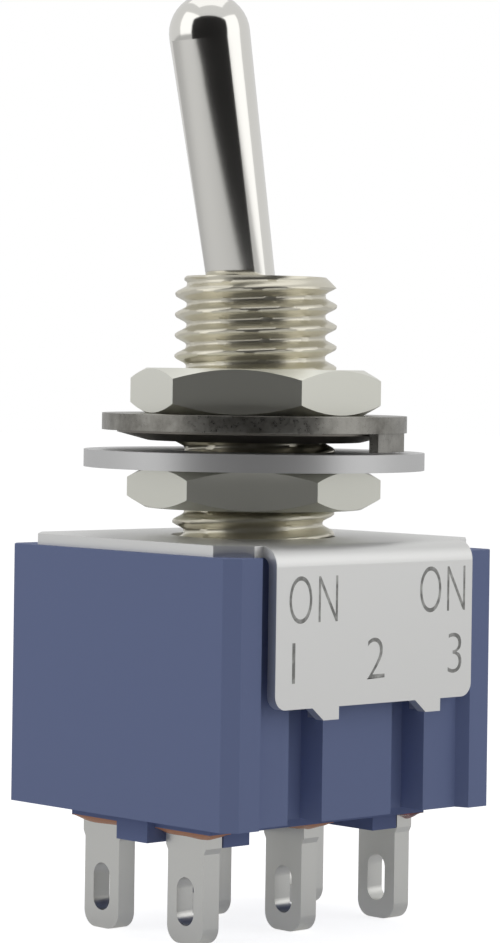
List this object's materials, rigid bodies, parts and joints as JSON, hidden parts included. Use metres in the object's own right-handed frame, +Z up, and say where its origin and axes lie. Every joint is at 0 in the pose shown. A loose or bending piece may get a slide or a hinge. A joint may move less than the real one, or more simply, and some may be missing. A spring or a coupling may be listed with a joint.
{
  "type": "panel toggle switch",
  "caption": "Miniature toggle switch with a bat lever, threaded bushing with nuts and washers, clinched metal bracket, blue case and slotted solder lugs.",
  "frame": {"origin": "on the bushing axis, in the plane of the lug tips", "axes": "+Z up the bushing axis, +X along the throw of the lever, -Y the marked side of the bracket"},
  "size_m": [0.0132, 0.0128, 0.0336],
  "materials": {
    "case_blue": "fine satin moulding",
    "base_blue": "fine satin moulding",
    "bracket_tin": "tinned sheet",
    "bushing_nickel": "nickel plated brass",
    "lever_chrome": "plated, fine turning marks",
    "steel_pin": "bare steel",
    "actuator_white": "natural",
    "nut_nickel": "nickel plated brass",
    "washer_steel": "zinc plated",
    "lock_steel": "dark plated",
    "plunger_brass": "bare",
    "rocker_brass": "silver plated",
    "lug_tin": "tinned",
    "contact_silver": "silver",
    "resin_amber": "poured resin"
  },
  "bodies": {
    "frame": {"case": "case_blue", "base_block": "base_blue", "bracket": "bracket_tin", "bushing": "bushing_nickel", "lug_left_front": "lug_tin", "lug_left_rear": "lug_tin", "lug_common_front": "lug_tin", "lug_common_rear": "lug_tin", "lug_right_front": "lug_tin", "lug_right_rear": "lug_tin", "contact_left_front": "contact_silver", "contact_left_rear": "contact_silver", "contact_right_front": "contact_silver", "contact_right_rear": "contact_silver", "resin_left_front": "resin_amber", "resin_left_rear": "resin_amber", "resin_common_front": "resin_amber", "resin_common_rear": "resin_amber", "resin_right_front": "resin_amber", "resin_right_rear": "resin_amber", "lower_nut": "nut_nickel", "flat_washer": "washer_steel", "lock_washer": "lock_steel", "locating_ring": "washer_steel", "upper_nut": "nut_nickel"},
    "lever": {"lever": "lever_chrome", "pivot_pin": "steel_pin", "actuator": "actuator_white", "spring_front": "steel_pin", "spring_rear": "steel_pin"},
    "plunger_front": {"plunger_front": "plunger_brass"},
    "plunger_rear": {"plunger_rear": "plunger_brass"},
    "rocker_front": {"rocker_front": "rocker_brass"},
    "rocker_rear": {"rocker_rear": "rocker_brass"}
  },
  "joints": [
    {"name": "lever_tilt", "type": "hinge", "parent": "frame", "child": "lever", "pos_m": [0, 0, 0.01935], "axis": [0, 1, 0], "range_deg": [0, 22]},
    {"name": "rocker_front_tilt", "type": "hinge", "parent": "frame", "child": "rocker_front", "pos_m": [0, -0.00224, 0.00825], "axis": [0, 1, 0], "range_deg": [-14, 0]},
    {"name": "rocker_rear_tilt", "type": "hinge", "parent": "frame", "child": "rocker_rear", "pos_m": [0, 0.00224, 0.00825], "axis": [0, 1, 0], "range_deg": [-14, 0]},
    {"name": "plunger_front_slide", "type": "slide", "parent": "lever", "child": "plunger_front", "axis": [-0.1908, 0, 0.9816], "range_m": [0, 0.0003], "stiffness_N_per_m": 20, "deforming": ["spring_front"]},
    {"name": "plunger_rear_slide", "type": "slide", "parent": "lever", "child": "plunger_rear", "axis": [-0.1908, 0, 0.9816], "range_m": [0, 0.0003], "stiffness_N_per_m": 20, "deforming": ["spring_rear"]}
  ],
  "couplings": [
    {"joint": "rocker_front_tilt", "follows": "lever_tilt", "ratio": -0.63636},
    {"joint": "rocker_rear_tilt", "follows": "lever_tilt", "ratio": -0.63636}
  ]
}
